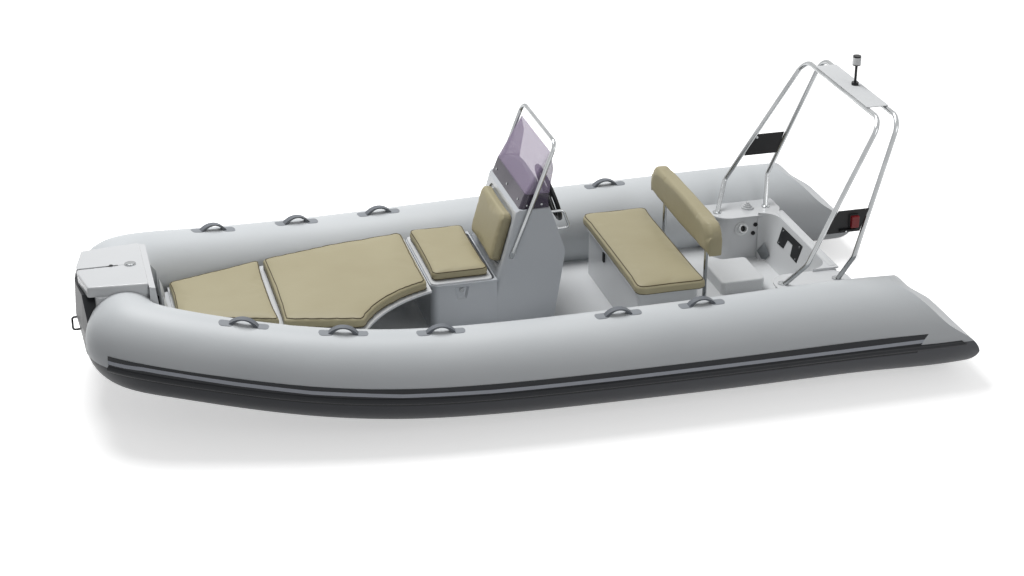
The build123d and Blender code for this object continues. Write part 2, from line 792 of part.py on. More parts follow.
seat_lid_aft_x = seat_aft_x + 26
seat_hinge = (seat_low_y - 5 - hinge_radius - 1, seat_top_z)
with BuildPart() as seat_lid:
    lid_z = seat_top_z + seat_gap
    with BuildSketch(Plane.XY.offset(lid_z)):
        with Locations((
            (seat_lid_aft_x + seat_front_x - 4) / 2, (seat_low_y + port_side_y) / 2
        )):
            RectangleRounded(
                seat_front_x - 4 - seat_lid_aft_x, port_side_y - seat_low_y - 8, 30
            )
    extrude(amount=lid_thickness)
    fillet(seat_lid.faces().sort_by(Axis.Z)[-1].edges(), 4)
    add(box_between(
        (seat_lid_aft_x + 40, seat_hinge[0] - 1, lid_z),
        (seat_front_x - 44, seat_low_y + 20, lid_z + 4),
    ))
    with BuildSketch(Plane.YZ.offset(seat_lid_aft_x + 40)):
        with Locations(seat_hinge):
            Circle(hinge_radius)
    extrude(amount=seat_front_x - 84 - seat_lid_aft_x)
write(seat_lid.part, "seat_lid")

seat_pad_z = seat_top_z + 2 * seat_gap + lid_thickness
seat_pad_inset = 8
write(
    cushion(
        [
            (seat_lid_aft_x + seat_pad_inset, seat_low_y + seat_pad_inset),
            (seat_lid_aft_x + seat_pad_inset, port_side_y - 26),
            (seat_front_x - seat_pad_inset, port_side_y - 26),
            (seat_front_x - seat_pad_inset, seat_low_y + seat_pad_inset),
        ],
        seat_pad_z, pad_thickness - 8,
    ),
    "seat_cushion",
)

with BuildPart() as seat_lock:
    with BuildSketch(Plane.XZ.offset(-port_side_y + 12 - seat_gap)):
        with Locations((latch_place[0], latch_place[1] + 8)):
            RectangleRounded(26, 26, 6)
    extrude(amount=-6)
    with BuildSketch(Plane.XZ.offset(-port_side_y + 6 - seat_gap)):
        with Locations((latch_place[0], latch_place[1] + 8)):
            Circle(11)
    extrude(amount=-4)
write(seat_lock.part, "seat_lock")

console_front_shoulder = (console_front_top_x + 17, console_top_z - 20)
face_foot = Vector(console_front_foot_x, 0, console_bend_z)
face_head = Vector(console_front_shoulder[0], 0, console_front_shoulder[1])
face_up = (face_head - face_foot).normalized()
face_out = Vector(face_up.Z, 0, -face_up.X)
pad_height, pad_width, pad_climb = 330, 540, 262
pad_centre = face_foot + face_up * pad_climb + Vector(0, console_centre_y + 15, 0)
face_plane = Plane(origin=pad_centre, x_dir=(0, 1, 0), z_dir=face_out)
dash_up = Vector(console_aft_top_x - console_knee_x, 0, console_top_z - console_knee_z)
dash_up = dash_up.normalized()
dash_out = Vector(-dash_up.Z, 0, dash_up.X)
hood_crest_x = console_aft_top_x + (hood_top_z - console_top_z) * dash_up.X / dash_up.Z

with BuildPart() as console:
    with BuildSketch(Plane.XZ.offset(-port_side_y)) as console_profile:
        with BuildLine():
            Polyline(
                (console_front_foot_x, floor_height + seat_gap),
                (console_front_foot_x, console_bend_z),
                console_front_shoulder,
                (console_front_top_x - 3, console_top_z),
                (console_aft_top_x, console_top_z),
                (console_knee_x, console_knee_z),
                (console_aft_foot_x, floor_height + seat_gap),
                close=True,
            )
        make_face()
        knee_corner = console_profile.vertices().sort_by(Axis.X)[0]
        fillet(knee_corner, console_corner)
    extrude(amount=2 * console_half_width)
    leaning = [
        edge for edge in console.edges()
        if edge.length > 300 and abs(abs(edge.center().Y - console_centre_y)
                                     - console_half_width) < 1 and edge.center().Z > 500
        and edge.center().X > console_front_top_x
    ]
    fillet(leaning, console_corner)
    with BuildSketch(face_plane):
        RectangleRounded(pad_width + 24, pad_height + 24, 62)
    extrude(amount=-pad_recess, mode=Mode.SUBTRACT)

hood_low_y = console_centre_y - hood_half_width
hood_high_y = console_centre_y + hood_half_width
with BuildPart() as hood:
    with BuildSketch(Plane.XZ.offset(-hood_high_y)):
        with BuildLine():
            Polyline(
                (console_front_top_x - 12, console_top_z - 2),
                (hood_crest_x + 14, hood_top_z + 12),
                (hood_crest_x, hood_top_z + 12),
                (console_aft_top_x, console_top_z - 2),
                close=True,
            )
        make_face()
    extrude(amount=2 * hood_half_width)
    with BuildSketch(Plane.YZ.offset(console_aft_top_x - 10)):
        with BuildLine():
            Polyline(
                (hood_low_y, hood_shoulder_z), (hood_low_y, console_top_z - 2),
                (hood_high_y, console_top_z - 2), (hood_high_y, hood_shoulder_z),
            )
            ThreePointArc(
                (hood_low_y, hood_shoulder_z), (console_centre_y, hood_top_z),
                (hood_high_y, hood_shoulder_z),
            )
        make_face()
    extrude(amount=300, mode=Mode.INTERSECT)
with BuildPart() as console_whole:
    add(console.part)
    add(hood.part)
write(console_whole.part, "console")

with BuildPart() as console_cushion:
    with BuildSketch(face_plane.offset(seat_gap - pad_recess)):
        RectangleRounded(pad_width, pad_height, 50)
    extrude(amount=pad_thickness)
    fillet(console_cushion.edges().group_by(SortBy.LENGTH)[-1], 2)
write(console_cushion.part, "console_cushion")

# Windshield: one acrylic moulding with two side wings, its pane above a skirt round the hood
screen_half_width = hood_half_width + screen_clearance + screen_thickness
screen_outside = [
    # x from the console's front top edge, z above the console's top
    (-2, seat_gap),
    (-38, 92),
    (-194, 354),
    (-213, 250),
    (-182, 60),
    (-186, seat_gap),
]
screen_inside = [
    (4.4, -30),
    (-42.5, 89.8),
    (-253.1, 443.5),
    (-400, 443.5),
    (-400, -30),
]
with BuildPart() as windshield:
    for outline, inset, mode in (
        (screen_outside, 0, Mode.ADD), (screen_inside, screen_thickness, Mode.SUBTRACT)
    ):
        half = screen_half_width - inset
        with BuildPart(mode=Mode.PRIVATE) as screen_block:
            with BuildSketch(Plane.XZ.offset(-console_centre_y - half)):
                with BuildLine():
                    Polyline(
                        *[(console_front_top_x + x, console_top_z + z) for x, z in outline],
                        close=True,
                    )
                make_face()
            extrude(amount=2 * half)
            front_edges = [
                edge for edge in screen_block.edges()
                if edge.length > 80 and edge.center().X > console_front_top_x - 160
                and edge.center().Z > console_top_z + 20
                and abs(abs(edge.center().Y - console_centre_y) - half) < 1
            ]
            fillet(front_edges, screen_corner - inset)
        add(screen_block.part, mode=mode)
write(windshield.part, "windshield")

hub_seat = Vector(console_knee_x, console_centre_y, console_knee_z) + dash_up * wheel_climb
dash_plane = Plane(origin=hub_seat, x_dir=(0, 1, 0), z_dir=dash_out)
hub_depth, boss_depth = 40, 24
with BuildPart() as helm_hub:
    with BuildSketch(dash_plane.offset(seat_gap)):
        Circle(45)
    extrude(amount=hub_depth)
    fillet(helm_hub.faces().sort_by(Axis(hub_seat, dash_out))[-1].edges(), 10)
write(helm_hub.part, "helm_hub")

with BuildPart() as steering_wheel:
    wheel_plane = dash_plane.offset(wheel_stand_off)
    rim_centre = wheel_plane.origin + wheel_plane.x_dir * (wheel_radius - wheel_rim)
    with BuildSketch(Plane(
        origin=rim_centre, x_dir=wheel_plane.x_dir, z_dir=wheel_plane.y_dir
    )):
        Circle(wheel_rim)
    revolve(axis=Axis(wheel_plane.origin, wheel_plane.z_dir), revolution_arc=360)
    with BuildSketch(wheel_plane.offset(-6)):
        Circle(38)
        for angle in (90, 210, 330):
            with PolarLocations(wheel_radius / 2 - 10, 1, start_angle=angle):
                Rectangle(wheel_radius, 26)
    extrude(amount=10)
    with BuildSketch(dash_plane.offset(hub_depth + 1)):
        Circle(20)
    extrude(amount=boss_depth)
write(steering_wheel.part, "steering_wheel")

# Console rail: a hoop leaning aft, its feet on flat pads against the console's sides
rail_y = console_half_width + rail_r + seat_gap
rail_foot, rail_head = (-4, 671), (-262, 1352)
rail_run = Vector(rail_head[0] - rail_foot[0], 0, rail_head[1] - rail_foot[1]).normalized()
with BuildPart() as console_rail:
    add(bent_tube(
        [
            (rail_foot[0], console_centre_y + rail_y, rail_foot[1]),
            (rail_head[0], console_centre_y + rail_y, rail_head[1]),
            (rail_head[0], console_centre_y - rail_y, rail_head[1]),
            (rail_foot[0], console_centre_y - rail_y, rail_foot[1]),
        ],
        60, rail_r,
    ))
    for side in (PORT, STARBOARD):
        pad_foot = Vector(
            rail_foot[0], console_centre_y + side * (console_half_width + seat_gap), rail_foot[1]
        )
        with BuildSketch(Plane(origin=pad_foot, x_dir=rail_run, z_dir=(0, side, 0))):
            RectangleRounded(88, 30, 12)
        extrude(amount=5)
write(console_rail.part, "console_rail")

with BuildPart() as console_grab:
    add(bent_tube(
        [
            (-225, port_side_y - 10, 905), (-320, port_side_y - 10, 905),
            (-362, port_side_y - 10, 790), (-262, port_side_y - 10, 790),
        ],
        18, 8,
    ))
    add(console.part, mode=Mode.SUBTRACT)
write(console_grab.part, "console_grab")

# ---- stern bench --------------------------------------------------------------------------
base_front_x, base_aft_x = bench_front_x - 30, bench_aft_x + 30
base_half_width = bench_half_width - 20
with BuildPart() as bench_base:
    with BuildSketch(Plane.XY.offset(floor_height + seat_gap)) as base_plan:
        with Locations(((base_front_x + base_aft_x) / 2, 0)):
            Rectangle(base_front_x - base_aft_x, 2 * base_half_width)
        fillet(base_plan.vertices(), 30)
        with Locations(((base_front_x + base_aft_x) / 2, 0)):
            RectangleRounded(
                base_front_x - base_aft_x - 2 * wall, 2 * base_half_width - 2 * wall, 22,
                mode=Mode.SUBTRACT,
            )
    extrude(amount=bench_base_z - floor_height - seat_gap)
    add(tube_cutter, mode=Mode.SUBTRACT)
write(bench_base.part, "bench_base")

bench_lid_z = bench_base_z + seat_gap
bench_hinge = (base_front_x + 1 + hinge_radius, bench_base_z - hinge_radius - 0.5)
with BuildPart() as bench_lid:
    with BuildSketch(Plane.XY.offset(bench_lid_z)):
        with Locations(((bench_aft_x + bench_front_x + 10) / 2, 0)):
            RectangleRounded(bench_front_x - bench_aft_x - 30, 2 * bench_half_width + 20, 30)
    extrude(amount=lid_thickness)
    fillet(bench_lid.faces().sort_by(Axis.Z)[-1].edges(), 4)
    add(box_between(
        (bench_hinge[0] - 2, -base_half_width + 60, bench_hinge[1]),
        (bench_hinge[0] + 2, base_half_width - 60, bench_lid_z + 4),
    ))
    with BuildSketch(Plane.XZ.offset(-base_half_width + 60)):
        with Locations(bench_hinge):
            Circle(hinge_radius)
    extrude(amount=2 * base_half_width - 120)
write(bench_lid.part, "bench_lid")

bench_pad_y = bench_half_width + 55
with BuildPart() as bench_cushion:
    with BuildSketch(Plane.XY.offset(bench_lid_z + lid_thickness + seat_gap)) as bench_plan:
        with Locations(((bench_aft_x + bench_front_x) / 2 + 3, 0)):
            Rectangle(bench_front_x - bench_aft_x + 16, 2 * bench_pad_y)
        fillet(bench_plan.vertices().group_by(Axis.X)[-1], 62)
        fillet(bench_plan.vertices().group_by(Axis.X)[0], 36)
    extrude(amount=pad_thickness)
    fillet(bench_cushion.faces().sort_by(Axis.Z)[-1].edges(), pad_edge)
write(bench_cushion.part, "bench_cushion")

with BuildPart() as bench_latch:
    with BuildSketch(Plane.YZ.offset(base_front_x + seat_gap)):
        with Locations(latch_spot):
            RectangleRounded(30, 66, 8)
    extrude(amount=10)
    fillet(bench_latch.faces().sort_by(Axis.X)[-1].edges(), 3)
write(bench_latch.part, "bench_latch")

# Backrest: a pad curved in plan, seen from ahead as a panel hanging lower in the middle
backrest_thickness = 86
backrest_bow = 26            # the middle of the pad is this far aft of its ends
pad_front_x = backrest_x + 55
pad_back_x = pad_front_x - backrest_thickness
pad_end_y = backrest_half_width + 20
with BuildPart() as backrest_cushion:
    with BuildSketch(Plane.YZ.offset(pad_back_x - backrest_bow - 5)) as panel:
        with BuildLine():
            end_low_z = backrest_low_z + 38
            Polyline(
                (-backrest_half_width, end_low_z), (-backrest_half_width, backrest_high_z),
                (backrest_half_width, backrest_high_z), (backrest_half_width, end_low_z),
            )
            ThreePointArc(
                (backrest_half_width, end_low_z), (0, backrest_low_z),
                (-backrest_half_width, end_low_z),
            )
        make_face()
        fillet(panel.vertices().group_by(Axis.Y)[-1], 110)
    extrude(amount=backrest_thickness + backrest_bow + 10)
    with BuildSketch(Plane.XY.offset(backrest_low_z - 50)):
        for x, outer_x in ((pad_front_x, pad_front_x + 60), (pad_back_x, pad_back_x - 80)):
            with BuildLine():
                Polyline((x, -pad_end_y), (outer_x, -pad_end_y), (outer_x, pad_end_y), (x, pad_end_y))
                ThreePointArc((x, pad_end_y), (x - backrest_bow, 0), (x, -pad_end_y))
            make_face()
    extrude(amount=backrest_high_z - backrest_low_z + 100, mode=Mode.SUBTRACT)
write(backrest_cushion.part, "backrest_cushion")

post_y = backrest_half_width - 170
with BuildPart() as backrest_posts:
    for side in (PORT, STARBOARD):
        with Locations((backrest_x, side * post_y, floor_height + seat_gap)):
            Cylinder(post_radius, backrest_low_z + 60 - floor_height, align=STANDING)
            Cylinder(2 * post_radius, 5, align=STANDING)
    add(backrest_cushion.part, mode=Mode.SUBTRACT)
write(backrest_posts.part, "backrest_posts")

# ---- light arch ---------------------------------------------------------------------------
def hoop(foot, knee, corner):
    """One hoop of the arch, from a flange on one pod to a flange on the other."""
    points = []
    for side in (PORT, STARBOARD):
        leg = [(x, side * y, z) for x, y, z in (foot, knee, corner)]
        points += leg if side == PORT else leg[::-1]
    with BuildPart() as bar:
        add(bent_tube(points, [45, arch_corner_r, arch_corner_r, 45], arch_tube_r))
        with Locations((foot[0], 0, pod_top_z + seat_gap)):
            Box(400, 1600, 200, align=(Align.CENTER, Align.CENTER, Align.MAX), mode=Mode.SUBTRACT)
        for side in (PORT, STARBOARD):
            with Locations((foot[0], side * foot[1], pod_top_z + seat_gap)):
                Cylinder(arch_foot_flange, 5, align=STANDING)
    return bar.part


foot_z = pod_top_z - 18
forward_knee = (stern_x + 933, 697, pod_top_z + 172)
forward_corner = (stern_x + 469, 573, arch_top_z)
aft_knee = (stern_x + 634, 695, pod_top_z + 188)
aft_corner = (stern_x + 350, 572, arch_top_z)
write(hoop((stern_x + 1030, 565, foot_z), forward_knee, forward_corner), "arch_forward")
write(hoop((stern_x + 683, 580, foot_z), aft_knee, aft_corner), "arch_aft")

arch_plate_z = arch_top_z + arch_tube_r + seat_gap
arch_plate_thickness = 4
with BuildPart() as arch_plate:
    with BuildSketch(Plane.XY.offset(arch_plate_z)):
        with Locations(((forward_corner[0] + aft_corner[0]) / 2, 0)):
            RectangleRounded(aft_corner[0] * -1 + forward_corner[0] + 21, 780, 8)
    extrude(amount=arch_plate_thickness)
write(arch_plate.part, "arch_top_plate")

lamp_column = [
    # radius, height, from the foot up
    (22, 18),
    (8, 110),
    (25, 60),
]
with BuildPart() as mast_light:
    lamp_z = arch_plate_z + arch_plate_thickness + seat_gap
    for radius, height in lamp_column:
        with Locations((stern_x + 384, 0, lamp_z)):
            Cylinder(radius, height, align=STANDING)
        lamp_z += height
write(mast_light.part, "mast_light")

plate_low_z, plate_high_z = pod_top_z + 342, pod_top_z + 484
plate_y = 662
plate_clearance = 0.3        # between a side plate and the hoops' legs


def leg_x(knee, corner, z, side):
    """Edge of a side plate beside a hoop's leg at height z."""
    slope = (corner[0] - knee[0]) / (corner[2] - knee[2])
    return knee[0] + slope * (z - knee[2]) + side * (
        (arch_tube_r + plate_clearance) * sqrt(1 + slope ** 2)
    )


with BuildPart() as arch_side_plates:
    with BuildSketch(Plane.XZ.offset(-plate_y)):
        with BuildLine():
            Polyline(
                (leg_x(forward_knee, forward_corner, plate_low_z, -1), plate_low_z),
                (leg_x(forward_knee, forward_corner, plate_high_z, -1), plate_high_z),
                (leg_x(aft_knee, aft_corner, plate_high_z, 1), plate_high_z),
                (leg_x(aft_knee, aft_corner, plate_low_z, 1), plate_low_z),
                close=True,
            )
        make_face()
    extrude(amount=2, both=True)
    mirror(about=Plane.XZ)
write(arch_side_plates.part, "arch_side_plates")

for side, name in ((PORT, "nav_light_port"), (STARBOARD, "nav_light_starboard")):
    with BuildPart() as nav_light:
        with Locations((stern_x + 640, side * (plate_y + 2 + seat_gap + 16), pod_top_z + 415)):
            Box(48, 32, 70)
        fillet(nav_light.edges().filter_by(Axis.Z), 5)
    write(nav_light.part, name)

# Plate on the transom that carries the engine's clamp, seen from ahead
clamp_plate = [
    # y, z above the floor
    (-275, 279),
    (55, 283),
    (34, 162),
    (-68, 166),
    (-77, 237),
    (-160, 237),
    (-187, 167),
    (-287, 163),
]
transom_front = lean_plane(transom_foot_x, floor_height, transom_lean).offset(seat_gap)
with BuildPart() as transom_plates:
    with BuildSketch(transom_front):
        with BuildLine():
            Polyline(
                *[(y, z / cos(radians(transom_lean))) for y, z in clamp_plate], close=True
            )
        make_face()
    extrude(amount=3)
write(transom_plates.part, "transom_plates")
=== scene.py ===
import math

import bmesh
import bpy
from mathutils import Matrix, Vector


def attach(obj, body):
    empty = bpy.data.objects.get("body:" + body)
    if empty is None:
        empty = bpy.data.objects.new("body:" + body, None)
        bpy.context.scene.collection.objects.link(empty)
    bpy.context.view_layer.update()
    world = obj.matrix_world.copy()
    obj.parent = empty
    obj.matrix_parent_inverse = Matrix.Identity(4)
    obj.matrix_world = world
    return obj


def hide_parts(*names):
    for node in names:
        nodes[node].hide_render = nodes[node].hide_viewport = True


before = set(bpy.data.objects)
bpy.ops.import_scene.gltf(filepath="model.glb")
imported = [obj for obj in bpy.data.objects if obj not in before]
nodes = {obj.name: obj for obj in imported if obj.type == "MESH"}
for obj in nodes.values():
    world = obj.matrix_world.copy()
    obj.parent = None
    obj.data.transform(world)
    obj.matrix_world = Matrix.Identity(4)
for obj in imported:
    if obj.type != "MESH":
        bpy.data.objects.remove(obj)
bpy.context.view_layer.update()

# Centre height of the port and starboard tubes at each x, in metres
TUBE_CENTRE = [
    (-2.70, 0.330), (-1.20, 0.330), (-0.40, 0.330), (0.40, 0.333), (0.90, 0.348), (1.40, 0.392),
    (1.80, 0.448), (2.10, 0.498), (2.285, 0.526), (2.60, 0.536),
]
# The tubes' underside, painted dark as shade: its upper edge from the tube's centre, and the Y or X
# that it begins at
PAINTED_SHADE_TOP, PAINTED_SHADE_Y, PAINTED_SHADE_X = -0.045, 0.93, 0.8
# The grey line in the strake: its lower and upper edge from the tube's centre, and its forward end
LINE_LOW, LINE_HIGH, LINE_END_X = -0.0165, 0.0060, 2.474
# The heights between which the windshield's clear pane turns into its skirt, which is painted darker
# and less clear as shade
PANE_Z, SKIRT_Z = 1.034, 1.026

# The console's centreline, and the lean of its dash from upright
CONSOLE_Y = -0.250
DASH_LEAN = math.atan2(0.100, 0.290)
# Edges sharper than this stay sharp
SHARP_ANGLE = math.radians(35)


# ---- shader helpers -------------------------------------------------------------------------
def colour(code):
    """Linear colour of a hex code as seen on a screen."""
    parts = [int(code[i:i + 2], 16) / 255 for i in (0, 2, 4)]
    return tuple(c / 12.92 if c <= 0.04045 else ((c + 0.055) / 1.055) ** 2.4 for c in parts) + (1,)


def new_material(name, roughness, metallic=0.0, coat=0.0):
    """A material, its node tree and its Principled shader."""
    material = bpy.data.materials.new(name)
    material.use_nodes = True
    tree = material.node_tree
    shader = tree.nodes["Principled BSDF"]
    shader.inputs["Roughness"].default_value = roughness
    shader.inputs["Metallic"].default_value = metallic
    shader.inputs["Coat Weight"].default_value = coat
    shader.inputs["Coat Roughness"].default_value = 0.12
    shader.inputs["Specular IOR Level"].default_value = 0.25
    return material, tree, shader


def place_of(tree):
    """Socket with the place on the boat, in metres."""
    return tree.nodes.new("ShaderNodeTexCoord").outputs["Object"]


def math_node(tree, operation, first, second=None):
    """Output of a math node on one or two values, each a socket or a number."""
    node = tree.nodes.new("ShaderNodeMath")
    node.operation = operation
    for socket, value in zip(node.inputs, (first, second)):
        if value is None:
            continue
        if isinstance(value, (int, float)):
            socket.default_value = value
        else:
            tree.links.new(value, socket)
    return node.outputs[0]


def noise(tree, place, scale, detail=3.0, stretch=None):
    """Noise value on the boat, with its scale changed along the axes if asked."""
    if stretch:
        mapping = tree.nodes.new("ShaderNodeMapping")
        mapping.inputs["Scale"].default_value = stretch
        tree.links.new(place, mapping.inputs["Vector"])
        place = mapping.outputs["Vector"]
    node = tree.nodes.new("ShaderNodeTexNoise")
    node.inputs["Scale"].default_value = scale
    node.inputs["Detail"].default_value = detail
    tree.links.new(place, node.inputs["Vector"])
    return node.outputs["Fac"]


def cells(tree, place, scale):
    """Distance from the middle of small cells, as in a grain."""
    node = tree.nodes.new("ShaderNodeTexVoronoi")
    node.inputs["Scale"].default_value = scale
    tree.links.new(place, node.inputs["Vector"])
    return node.outputs["Distance"]


def axes_of(tree, place):
    """The X, Y and Z of a place."""
    node = tree.nodes.new("ShaderNodeSeparateXYZ")
    tree.links.new(place, node.inputs[0])
    return node.outputs


def bump(tree, shader, height, strength, distance, under=None):
    """Bump on the shader from a height, over another bump if given."""
    node = tree.nodes.new("ShaderNodeBump")
    node.inputs["Strength"].default_value = strength
    node.inputs["Distance"].default_value = distance
    tree.links.new(height, node.inputs["Height"])
    if under:
        tree.links.new(under, node.inputs["Normal"])
    tree.links.new(node.outputs["Normal"], shader.inputs["Normal"])
    return node.outputs["Normal"]


def mix(tree, factor, first, second):
    """Colour mixed from two colours or sockets."""
    node = tree.nodes.new("ShaderNodeMix")
    node.data_type = "RGBA"
    tree.links.new(factor, node.inputs["Factor"])
    for socket, value in ((node.inputs[6], first), (node.inputs[7], second)):
        if isinstance(value, tuple):
            socket.default_value = value
        else:
            tree.links.new(value, socket)
    return node.outputs[2]


def spread(tree, value, low, high, to_low=0.0, to_high=1.0):
    """Value mapped from one range to another, clamped."""
    node = tree.nodes.new("ShaderNodeMapRange")
    for socket, number in zip(node.inputs[1:5], (low, high, to_low, to_high)):
        socket.default_value = number
    tree.links.new(value, node.inputs[0])
    return node.outputs[0]


def along_tube(tree):
    """The place on the boat, its X, Y and Z, and its height above the tubes' centreline."""
    place = place_of(tree)
    axes = axes_of(tree, place)
    curve = tree.nodes.new("ShaderNodeFloatCurve")
    points = curve.mapping.curves[0].points
    aft, ahead = TUBE_CENTRE[0][0], TUBE_CENTRE[-1][0]
    while len(points) < len(TUBE_CENTRE):
        points.new(0.5, 0.5)
    for point, (x, z) in zip(points, TUBE_CENTRE):
        point.location = ((x - aft) / (ahead - aft), z)
        point.handle_type = "VECTOR"
    curve.mapping.update()
    tree.links.new(spread(tree, axes["X"], aft, ahead), curve.inputs["Value"])
    height = math_node(tree, "SUBTRACT", axes["Z"], curve.outputs[0])
    return place, axes, height


# ---- materials ------------------------------------------------------------------------------
def flat_material(name, code, roughness, coat=0.0, grain=(60, 0.08, 0.001)):
    """One colour, a little darker in clouds, with a grain of a scale, strength and depth."""
    material, tree, shader = new_material(name, roughness, coat=coat)
    place = place_of(tree)
    base = colour(code)
    dark = tuple(part * 0.94 for part in base[:3]) + (1,)
    tree.links.new(mix(tree, noise(tree, place, 3.0), dark, base), shader.inputs["Base Color"])
    scale, strength, depth = grain
    bump(tree, shader, noise(tree, place, scale), strength, depth)
    return material


def fabric_material():
    """Coated fabric of the tubes: pale, with painted shade on the outboard underside and, forward,
    on the whole underside.
    """
    material, tree, shader = new_material("tube_fabric", 0.42)
    place, axes, height = along_tube(tree)
    # Painted shade: below this height the pale fabric is coloured dark as if in shadow, and darker
    # towards the bow
    below = math_node(tree, "LESS_THAN", height, PAINTED_SHADE_TOP)
    side = math_node(tree, "ABSOLUTE", axes["Y"])
    outboard = math_node(tree, "GREATER_THAN", side, PAINTED_SHADE_Y)
    forward = math_node(tree, "GREATER_THAN", axes["X"], PAINTED_SHADE_X)
    below = math_node(tree, "MULTIPLY", below, math_node(tree, "MAXIMUM", outboard, forward))
    shade = spread(tree, axes["X"], -1.5, 2.3)
    under = mix(tree, shade, colour("55575b"), colour("2b2d32"))
    cloud = noise(tree, place, 1.6, detail=2)
    top = mix(tree, cloud, colour("b9bdc0"), colour("c6c9cb"))
    tree.links.new(mix(tree, below, top, under), shader.inputs["Base Color"])
    weave = noise(tree, place, 900, detail=1)
    waves = noise(tree, place, 2.2, detail=1, stretch=(1.0, 2.2, 2.2))
    normal = bump(tree, shader, waves, strength=0.12, distance=0.02)
    bump(tree, shader, weave, strength=0.10, distance=0.0006, under=normal)
    return material


def strake_material():
    """Black rubber with a grey line along it."""
    material, tree, shader = new_material("strake_rubber", 0.38)
    place, axes, height = along_tube(tree)
    above = math_node(tree, "GREATER_THAN", height, LINE_LOW)
    under = math_node(tree, "LESS_THAN", height, LINE_HIGH)
    behind = math_node(tree, "LESS_THAN", axes["X"], LINE_END_X)
    band = math_node(tree, "MULTIPLY", above, under)
    band = math_node(tree, "MULTIPLY", band, behind)
    black = mix(tree, noise(tree, place, 6.0), colour("1b1d21"), colour("24262a"))
    tree.links.new(mix(tree, band, black, colour("a6aab2")), shader.inputs["Base Color"])
    bump(tree, shader, noise(tree, place, 300, detail=1), strength=0.08, distance=0.0008)
    return material


def vinyl_material():
    """Marine vinyl with its grain and slight creases."""
    material, tree, shader = new_material("vinyl", 0.50)
    place = place_of(tree)
    base = mix(tree, noise(tree, place, 2.5, detail=2), colour("948c70"), colour("a19a7f"))
    tree.links.new(base, shader.inputs["Base Color"])
    creases = noise(tree, place, 9, detail=2, stretch=(1.0, 1.6, 1.0))
    normal = bump(tree, shader, creases, strength=0.18, distance=0.006)
    bump(tree, shader, cells(tree, place, 420), strength=0.16, distance=0.0008, under=normal)
    return material


def nonskid_material():
    """Gelcoat with a moulded non-slip grain."""
    material, tree, shader = new_material("nonskid", 0.6)
    place = place_of(tree)
    base = mix(tree, noise(tree, place, 2.0), colour("c2c4c6"), colour("cfd1d2"))
    tree.links.new(base, shader.inputs["Base Color"])
    bump(tree, shader, cells(tree, place, 150), strength=0.35, distance=0.002)
    return material


def acrylic_material():
    """Purple tinted acrylic, with painted shade making the skirt below the pane darker and less
    clear.
    """
    material, tree, shader = new_material("tinted_screen", 0.08)
    place = place_of(tree)
    height = axes_of(tree, place)["Z"]
    # Painted shade: the skirt's dark purple and lower clarity stand for the shadowed console front
    # seen through the tint
    skirt = spread(tree, height, PANE_Z, SKIRT_Z)
    tint = mix(tree, skirt, colour("8d7d9b"), colour("2c2439"))
    cloud = spread(tree, noise(tree, place, 1.2), 0.3, 0.7, 0.0, 0.25)
    tree.links.new(mix(tree, cloud, tint, colour("b5aabd")), shader.inputs["Base Color"])
    tree.links.new(spread(tree, height, PANE_Z, SKIRT_Z, 0.55, 0.82), shader.inputs["Alpha"])
    shader.inputs["Specular IOR Level"].default_value = 0.4
    return material


def steel_material():
    """Polished stainless steel, brighter and duller in turn along the tube."""
    material, tree, shader = new_material("stainless", 0.16, metallic=1.0)
    place = place_of(tree)
    base = mix(tree, noise(tree, place, 4, detail=2), colour("85888a"), colour("d2d4d5"))
    tree.links.new(base, shader.inputs["Base Color"])
    rough = spread(tree, noise(tree, place, 40, detail=2), 0.3, 0.7, 0.10, 0.24)
    tree.links.new(rough, shader.inputs["Roughness"])
    return material


GELCOAT = flat_material("gelcoat", "c6c8ca", 0.22, coat=0.35, grain=(14, 0.05, 0.002))
HULL = flat_material("hull_gelcoat", "c9cbcd", 0.25, coat=0.35, grain=(8, 0.05, 0.002))
CONSOLE = flat_material("console_gelcoat", "b4b8bd", 0.22, coat=0.4, grain=(10, 0.05, 0.002))
FABRIC = fabric_material()
STRAKE = strake_material()
STRAP = flat_material("handle_rubber", "666a70", 0.5, grain=(220, 0.15, 0.0006))
PAD = flat_material("handle_pad_rubber", "83878c", 0.5, grain=(220, 0.15, 0.0006))
DARK_RUBBER = flat_material("dark_rubber", "212327", 0.45, grain=(220, 0.15, 0.0006))
NONSKID = nonskid_material()
VINYL = vinyl_material()
PIPING = flat_material("piping", "4d4530", 0.5, grain=(300, 0.1, 0.0004))
STEEL = steel_material()
BLACK = flat_material("black_plastic", "1d1e20", 0.35, grain=(240, 0.12, 0.0005))
WHITE = flat_material("white_plastic", "d7d9da", 0.3, coat=0.2, grain=(90, 0.05, 0.0006))
DIAMOND = flat_material("grey_pad", "7d8184", 0.6, grain=(300, 0.3, 0.0006))
ACRYLIC = acrylic_material()
RED = flat_material("red_lens", "7d1219", 0.15, coat=0.15, grain=(200, 0.1, 0.0004))
GREEN = flat_material("green_lens", "1c6a35", 0.15, coat=0.15, grain=(200, 0.1, 0.0004))

